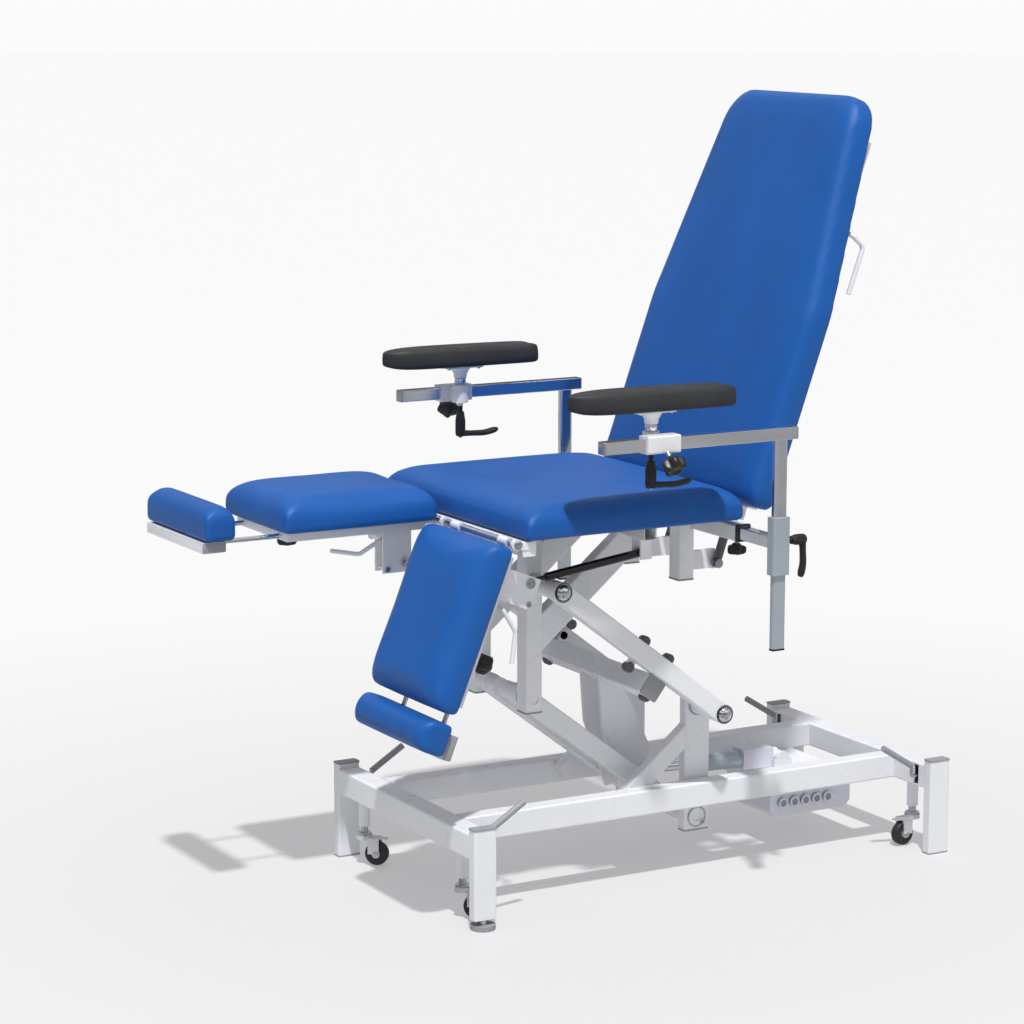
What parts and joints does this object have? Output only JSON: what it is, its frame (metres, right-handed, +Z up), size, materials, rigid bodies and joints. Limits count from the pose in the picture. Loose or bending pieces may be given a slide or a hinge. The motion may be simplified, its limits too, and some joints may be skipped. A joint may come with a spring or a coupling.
{
  "type": "medical exam table",
  "caption": "Three-section treatment chair: split leg rests with foot pads, tilting tapered back, adjustable armrests, on a parallelogram lift with retractable castors.",
  "frame": {"origin": "middle of the whole object's footprint box, on the floor", "axes": "+X to the head end, +Y to the far side, +Z up"},
  "size_m": [1.5774, 0.964, 1.6075],
  "materials": {
    "white_paint": "smooth satin powder coat",
    "grey_plastic": "moulded, fine grain",
    "lavender_plastic": "moulded housing, fine grain",
    "chrome": "polished plate",
    "vinyl_blue": "soft upholstery vinyl, fine leather grain",
    "arm_foam": "moulded integral-skin foam",
    "black_plastic": "moulded, fine grain",
    "black_paint": "gloss black cylinder",
    "wheel_rubber": "soft tread",
    "castor_white": "smooth moulding"
  },
  "bodies": {
    "root": {"base_rails": "white_paint", "base_legs": "white_paint", "base_feet": "grey_plastic", "lift_posts": "white_paint", "control_box": "lavender_plastic"},
    "lift": {"upper_arms": "white_paint", "pivot_shafts": "chrome"},
    "lower_link": {"lower_arms": "white_paint"},
    "motor": {"lift_motor": "lavender_plastic"},
    "push_rod": {"lift_rod": "chrome"},
    "seat": {"frame_columns": "white_paint", "seat_frame": "white_paint", "seat_pad": "vinyl_blue", "bar_knobs": "black_plastic"},
    "back": {"back_frame": "white_paint", "back_pad": "vinyl_blue"},
    "back_release": {"back_handle": "white_paint"},
    "back_cylinders": {"back_strut_cylinders": "black_paint"},
    "back_rods": {"back_strut_rods": "chrome"},
    "leg_near": {"leg_frame_near": "white_paint", "leg_pad_near": "vinyl_blue"},
    "leg_release_near": {"leg_handle_near": "white_paint"},
    "leg_strut_rod_near": {"leg_strut_rod_near": "black_paint"},
    "leg_strut_cylinder_near": {"leg_strut_cylinder_near": "black_paint"},
    "foot_near": {"foot_slide_near": "chrome", "foot_pad_near": "vinyl_blue"},
    "foot_knob_near": {"foot_knob_near": "black_plastic"},
    "arm_bar_near": {"arm_bar_near": "chrome"},
    "arm_mast_near": {"arm_mast_near": "chrome"},
    "arm_carriage_near": {"arm_carriage_near": "white_paint"},
    "arm_pad_near": {"arm_pad_near": "arm_foam"},
    "mast_lever_near": {"mast_lever_near": "black_plastic"},
    "pad_lever_near": {"pad_lever_near": "black_plastic"},
    "carriage_knob_near": {"carriage_knob_near": "black_plastic"},
    "leg_far": {"leg_frame_far": "white_paint", "leg_pad_far": "vinyl_blue"},
    "leg_release_far": {"leg_handle_far": "white_paint"},
    "leg_strut_rod_far": {"leg_strut_rod_far": "black_paint"},
    "leg_strut_cylinder_far": {"leg_strut_cylinder_far": "black_paint"},
    "foot_far": {"foot_slide_far": "chrome", "foot_pad_far": "vinyl_blue"},
    "foot_knob_far": {"foot_knob_far": "black_plastic"},
    "arm_bar_far": {"arm_bar_far": "chrome"},
    "arm_mast_far": {"arm_mast_far": "chrome"},
    "arm_carriage_far": {"arm_carriage_far": "white_paint"},
    "arm_pad_far": {"arm_pad_far": "arm_foam"},
    "mast_lever_far": {"mast_lever_far": "black_plastic"},
    "pad_lever_far": {"pad_lever_far": "black_plastic"},
    "carriage_knob_far": {"carriage_knob_far": "black_plastic"},
    "pedals_foot": {"pedal_shaft_foot": "grey_plastic"},
    "pedals_head": {"pedal_shaft_head": "grey_plastic"},
    "stems": {"castor_stems": "chrome"},
    "fork_foot_near": {"castor_fork_foot_near": "castor_white"},
    "wheel_foot_near": {"castor_wheel_foot_near": "wheel_rubber"},
    "fork_foot_far": {"castor_fork_foot_far": "castor_white"},
    "wheel_foot_far": {"castor_wheel_foot_far": "wheel_rubber"},
    "fork_head_near": {"castor_fork_head_near": "castor_white"},
    "wheel_head_near": {"castor_wheel_head_near": "wheel_rubber"},
    "fork_head_far": {"castor_fork_head_far": "castor_white"},
    "wheel_head_far": {"castor_wheel_head_far": "wheel_rubber"}
  },
  "joints": [
    {"name": "lift", "type": "hinge", "parent": "root", "child": "lift", "pos_m": [0.25925, 0, 0.349], "axis": [0, 1, 0], "range_deg": [-37.2, 20.8]},
    {"name": "lower_link", "type": "hinge", "parent": "root", "child": "lower_link", "pos_m": [0.25925, 0, 0.108], "axis": [0, 1, 0], "range_deg": [-37.2, 20.8]},
    {"name": "seat_level", "type": "hinge", "parent": "lift", "child": "seat", "pos_m": [-0.12627, 0, 0.64163], "axis": [0, 1, 0], "range_deg": [-20.8, 37.2]},
    {"name": "motor_tilt", "type": "hinge", "parent": "root", "child": "motor", "pos_m": [0.55125, 0, 0.172], "axis": [0, 1, 0], "range_deg": [-6.7, 3.79]},
    {"name": "push_stroke", "type": "slide", "parent": "motor", "child": "push_rod", "axis": [-0.9992, 0, 0.0408], "range_m": [-0.1145, 0.0645]},
    {"name": "back_recline", "type": "hinge", "parent": "seat", "child": "back", "pos_m": [0.33325, 0, 0.752], "axis": [0, -1, 0], "range_deg": [-70, 5]},
    {"name": "back_strut_tilt", "type": "hinge", "parent": "seat", "child": "back_cylinders", "pos_m": [0.32725, 0, 0.636], "axis": [0, -1, 0], "range_deg": [-47.36, 3.85]},
    {"name": "back_strut_stroke", "type": "slide", "parent": "back_cylinders", "child": "back_rods", "axis": [0.3237, 0, 0.9462], "range_m": [-0.0784, 0.0075]},
    {"name": "back_release", "type": "hinge", "parent": "back", "child": "back_release", "pos_m": [0.5447, -0.2128, 1.32419], "axis": [0, 1, 0], "range_deg": [0, 15]},
    {"name": "leg_lower_near", "type": "hinge", "parent": "seat", "child": "leg_near", "pos_m": [-0.26275, -0.152, 0.759], "axis": [0, -1, 0], "range_deg": [-68, 10]},
    {"name": "leg_strut_tilt_near", "type": "hinge", "parent": "leg_near", "child": "leg_strut_rod_near", "pos_m": [-0.20624, -0.23, 0.6693], "axis": [0, -1, 0], "range_deg": [-10.48, 68.38]},
    {"name": "leg_strut_stroke_near", "type": "slide", "parent": "leg_strut_rod_near", "child": "leg_strut_cylinder_near", "axis": [0.9914, 0, 0.1308], "range_m": [-0.0197, 0.1227]},
    {"name": "leg_release_near", "type": "hinge", "parent": "leg_near", "child": "leg_release_near", "pos_m": [-0.28214, -0.252, 0.63094], "axis": [0, 1, 0], "range_deg": [0, 26]},
    {"name": "foot_reach_near", "type": "slide", "parent": "leg_near", "child": "foot_near", "axis": [-0.3746, 0, -0.9272], "range_m": [0, 0.1]},
    {"name": "foot_knob_near", "type": "hinge", "parent": "leg_near", "child": "foot_knob_near", "pos_m": [-0.31436, -0.237, 0.52101], "axis": [-0.9272, 0, 0.3746], "range_deg": [-90, 90]},
    {"name": "arm_out_near", "type": "slide", "parent": "seat", "child": "arm_bar_near", "axis": [0, -1, 0], "range_m": [-0.02, 0.06]},
    {"name": "arm_height_near", "type": "slide", "parent": "arm_bar_near", "child": "arm_mast_near", "axis": [0, 0, 1], "range_m": [-0.1, 0.13]},
    {"name": "pad_reach_near", "type": "slide", "parent": "arm_mast_near", "child": "arm_carriage_near", "axis": [1, 0, 0], "range_m": [-0.08, 0.19]},
    {"name": "pad_swivel_near", "type": "hinge", "parent": "arm_carriage_near", "child": "arm_pad_near", "pos_m": [-0.01675, -0.386, 1.018], "axis": [0, 0, 1], "range_deg": [-90, 90]},
    {"name": "mast_lever_near", "type": "hinge", "parent": "arm_bar_near", "child": "mast_lever_near", "pos_m": [0.28355, -0.418, 0.739], "axis": [1, 0, 0], "range_deg": [-60, 60]},
    {"name": "pad_lever_near", "type": "hinge", "parent": "arm_carriage_near", "child": "pad_lever_near", "pos_m": [-0.01675, -0.386, 0.916], "axis": [0, 0, 1], "range_deg": [-60, 15]},
    {"name": "carriage_knob_near", "type": "hinge", "parent": "arm_carriage_near", "child": "carriage_knob_near", "pos_m": [-0.00875, -0.4304, 0.9436], "axis": [0, -0.7071, -0.7071], "range_deg": [-90, 90]},
    {"name": "leg_lower_far", "type": "hinge", "parent": "seat", "child": "leg_far", "pos_m": [-0.26275, 0.152, 0.759], "axis": [0, -1, 0], "range_deg": [0, 78]},
    {"name": "leg_strut_tilt_far", "type": "hinge", "parent": "leg_far", "child": "leg_strut_rod_far", "pos_m": [-0.32475, 0.074, 0.673], "axis": [0, -1, 0], "range_deg": [-73.51, 0.5]},
    {"name": "leg_strut_stroke_far", "type": "slide", "parent": "leg_strut_rod_far", "child": "leg_strut_cylinder_far", "axis": [0.9967, 0, 0.0816], "range_m": [-0.135, 0.002]},
    {"name": "leg_release_far", "type": "hinge", "parent": "leg_far", "child": "leg_release_far", "pos_m": [-0.38875, 0.052, 0.729], "axis": [0, 1, 0], "range_deg": [-26, 0]},
    {"name": "foot_reach_far", "type": "slide", "parent": "leg_far", "child": "foot_far", "axis": [-1, 0, 0], "range_m": [-0.086, 0.014]},
    {"name": "foot_knob_far", "type": "hinge", "parent": "leg_far", "child": "foot_knob_far", "pos_m": [-0.50275, 0.237, 0.7177], "axis": [0, 0, 1], "range_deg": [-90, 90]},
    {"name": "arm_out_far", "type": "slide", "parent": "seat", "child": "arm_bar_far", "axis": [0, 1, 0], "range_m": [-0.02, 0.06]},
    {"name": "arm_height_far", "type": "slide", "parent": "arm_bar_far", "child": "arm_mast_far", "axis": [0, 0, 1], "range_m": [-0.1, 0.13]},
    {"name": "pad_reach_far", "type": "slide", "parent": "arm_mast_far", "child": "arm_carriage_far", "axis": [1, 0, 0], "range_m": [-0.08, 0.19]},
    {"name": "pad_swivel_far", "type": "hinge", "parent": "arm_carriage_far", "child": "arm_pad_far", "pos_m": [-0.01675, 0.386, 1.018], "axis": [0, 0, 1], "range_deg": [-90, 90]},
    {"name": "mast_lever_far", "type": "hinge", "parent": "arm_bar_far", "child": "mast_lever_far", "pos_m": [0.28355, 0.418, 0.739], "axis": [1, 0, 0], "range_deg": [-60, 60]},
    {"name": "pad_lever_far", "type": "hinge", "parent": "arm_carriage_far", "child": "pad_lever_far", "pos_m": [-0.01675, 0.386, 0.916], "axis": [0, 0, 1], "range_deg": [-15, 60]},
    {"name": "carriage_knob_far", "type": "hinge", "parent": "arm_carriage_far", "child": "carriage_knob_far", "pos_m": [-0.00875, 0.4304, 0.9436], "axis": [0, 0.7071, -0.7071], "range_deg": [-90, 90]},
    {"name": "pedal_foot", "type": "hinge", "parent": "root", "child": "pedals_foot", "pos_m": [-0.34025, 0, 0.162], "axis": [0, 1, 0], "range_deg": [0, 24]},
    {"name": "pedal_head", "type": "hinge", "parent": "root", "child": "pedals_head", "pos_m": [0.76275, 0, 0.162], "axis": [0, -1, 0], "range_deg": [0, 24]},
    {"name": "castor_drop", "type": "slide", "parent": "root", "child": "stems", "axis": [0, 0, -1], "range_m": [0, 0.0101]},
    {"name": "swivel_foot_near", "type": "hinge", "parent": "stems", "child": "fork_foot_near", "pos_m": [-0.34025, -0.215, 0.06], "axis": [0, 0, 1], "continuous": true},
    {"name": "roll_foot_near", "type": "hinge", "parent": "fork_foot_near", "child": "wheel_foot_near", "pos_m": [-0.31813, -0.23049, 0.026], "axis": [0.5736, 0.8192, 0], "continuous": true},
    {"name": "swivel_foot_far", "type": "hinge", "parent": "stems", "child": "fork_foot_far", "pos_m": [-0.34025, 0.215, 0.06], "axis": [0, 0, 1], "continuous": true},
    {"name": "roll_foot_far", "type": "hinge", "parent": "fork_foot_far", "child": "wheel_foot_far", "pos_m": [-0.32018, 0.19693, 0.026], "axis": [0.6691, 0.7431, 0], "continuous": true},
    {"name": "swivel_head_near", "type": "hinge", "parent": "stems", "child": "fork_head_near", "pos_m": [0.76275, -0.215, 0.06], "axis": [0, 0, 1], "continuous": true},
    {"name": "roll_head_near", "type": "hinge", "parent": "fork_head_near", "child": "wheel_head_near", "pos_m": [0.73582, -0.21688, 0.026], "axis": [0.0698, -0.9976, 0], "continuous": true},
    {"name": "swivel_head_far", "type": "hinge", "parent": "stems", "child": "fork_head_far", "pos_m": [0.76275, 0.215, 0.06], "axis": [0, 0, 1], "continuous": true},
    {"name": "roll_head_far", "type": "hinge", "parent": "fork_head_far", "child": "wheel_head_far", "pos_m": [0.73937, 0.2285, 0.026], "axis": [-0.5, -0.866, 0], "continuous": true}
  ],
  "couplings": [
    {"joint": "lower_link", "follows": "lift", "ratio": 1},
    {"joint": "seat_level", "follows": "lift", "ratio": -1},
    {"joint": "motor_tilt", "follows": "lift", "ratio": 0.17732},
    {"joint": "push_stroke", "follows": "lift", "m_per_rad": 0.17482},
    {"joint": "back_strut_tilt", "follows": "back_recline", "ratio": 0.66945},
    {"joint": "back_strut_stroke", "follows": "back_recline", "m_per_rad": 0.06251},
    {"joint": "leg_strut_tilt_near", "follows": "leg_lower_near", "ratio": -0.99823},
    {"joint": "leg_strut_stroke_near", "follows": "leg_lower_near", "m_per_rad": -0.10167},
    {"joint": "leg_strut_tilt_far", "follows": "leg_lower_far", "ratio": -0.93607},
    {"joint": "leg_strut_stroke_far", "follows": "leg_lower_far", "m_per_rad": -0.097689},
    {"joint": "pedal_head", "follows": "pedal_foot", "ratio": 1},
    {"joint": "castor_drop", "follows": "pedal_foot", "m_per_rad": 0.0239}
  ]
}
